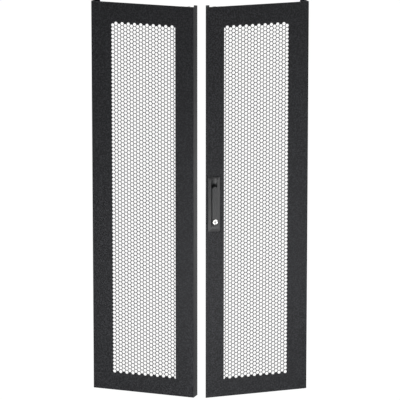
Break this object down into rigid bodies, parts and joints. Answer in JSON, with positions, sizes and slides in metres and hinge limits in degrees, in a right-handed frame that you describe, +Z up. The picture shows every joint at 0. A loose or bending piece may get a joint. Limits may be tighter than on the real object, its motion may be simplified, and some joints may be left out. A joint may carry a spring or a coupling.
{
  "type": "perforated rack door",
  "caption": "Split perforated steel rack door: two hinged leaves, one with a swing handle, key lock and sliding lock rods, the other with flush bolts, on screw-on hinge brackets.",
  "frame": {"origin": "middle of the lower left hinge bracket's screw holes, on the bracket's back face", "axes": "+X to the right across the door seen from its front, +Y from the front to the back of the rack, +Z up"},
  "size_m": [0.6777, 0.164, 1.25],
  "materials": {
    "powder_coat": "fine textured powder coat",
    "plated_steel": "zinc plated",
    "painted_zinc": "satin",
    "lock_metal": "bright nickel",
    "nylon": "matt",
    "rubber": "matt"
  },
  "bodies": {
    "rack_side": {"left_upper_bracket": "plated_steel", "left_lower_bracket": "plated_steel", "right_upper_bracket": "plated_steel", "right_lower_bracket": "plated_steel", "hinge_pins": "plated_steel", "hinge_washers": "nylon"},
    "left_leaf": {"left_face": "powder_coat", "left_hinge_channel": "powder_coat", "left_meeting_channel": "powder_coat", "left_top_channel": "powder_coat", "left_bottom_channel": "powder_coat", "left_knuckles": "powder_coat", "left_bolt_guides": "plated_steel", "left_earth_stud": "plated_steel", "left_buffers": "rubber"},
    "left_upper_bolt": {"left_upper_bolt": "plated_steel"},
    "left_lower_bolt": {"left_lower_bolt": "plated_steel"},
    "right_leaf": {"right_face": "powder_coat", "right_hinge_channel": "powder_coat", "right_meeting_channel": "powder_coat", "right_top_channel": "powder_coat", "right_bottom_channel": "powder_coat", "right_knuckles": "powder_coat", "right_rod_guides": "nylon", "right_earth_stud": "plated_steel", "right_buffers": "rubber", "dish": "painted_zinc", "dish_gasket": "rubber", "latch_plate": "plated_steel", "handle_screws": "plated_steel"},
    "spindle": {"spindle": "painted_zinc", "crank": "plated_steel", "crank_screw": "plated_steel", "lever_pin": "plated_steel"},
    "lever": {"lever": "painted_zinc", "lock_barrel": "lock_metal"},
    "lock_plug": {"lock_plug": "lock_metal"},
    "upper_rod": {"upper_rod": "plated_steel"},
    "lower_rod": {"lower_rod": "plated_steel"}
  },
  "joints": [
    {"name": "left_leaf_hinge", "type": "hinge", "parent": "rack_side", "child": "left_leaf", "pos_m": [-0.01, -0.0315, 0], "axis": [0, 0, -1], "range_deg": [-20, 100]},
    {"name": "right_leaf_hinge", "type": "hinge", "parent": "rack_side", "child": "right_leaf", "pos_m": [0.641, -0.0315, 0], "axis": [0, 0, 1], "range_deg": [-20, 100]},
    {"name": "handle_swing", "type": "hinge", "parent": "right_leaf", "child": "spindle", "pos_m": [0.36118, -0.15154, 0.4163], "axis": [-0.342, 0.9397, 0], "range_deg": [0, 90]},
    {"name": "lever_lift", "type": "hinge", "parent": "spindle", "child": "lever", "pos_m": [0.36234, -0.15474, 0.4114], "axis": [0.9397, 0.342, 0], "range_deg": [0, 30]},
    {"name": "key_turn", "type": "hinge", "parent": "lever", "child": "lock_plug", "pos_m": [0.36337, -0.15756, 0.4228], "axis": [-0.342, 0.9397, 0], "range_deg": [0, 90]},
    {"name": "upper_rod_slide", "type": "slide", "parent": "right_leaf", "child": "upper_rod", "axis": [0, 0, 1], "range_m": [-0.0099, 0]},
    {"name": "lower_rod_slide", "type": "slide", "parent": "right_leaf", "child": "lower_rod", "axis": [0, 0, 1], "range_m": [0, 0.0099]},
    {"name": "left_upper_bolt_slide", "type": "slide", "parent": "left_leaf", "child": "left_upper_bolt", "axis": [0, 0, 1], "range_m": [0, 0.018]},
    {"name": "left_lower_bolt_slide", "type": "slide", "parent": "left_leaf", "child": "left_lower_bolt", "axis": [0, 0, -1], "range_m": [0, 0.018]}
  ],
  "couplings": [
    {"joint": "upper_rod_slide", "follows": "handle_swing", "m_per_rad": -0.0063022},
    {"joint": "lower_rod_slide", "follows": "handle_swing", "m_per_rad": 0.0063022}
  ]
}
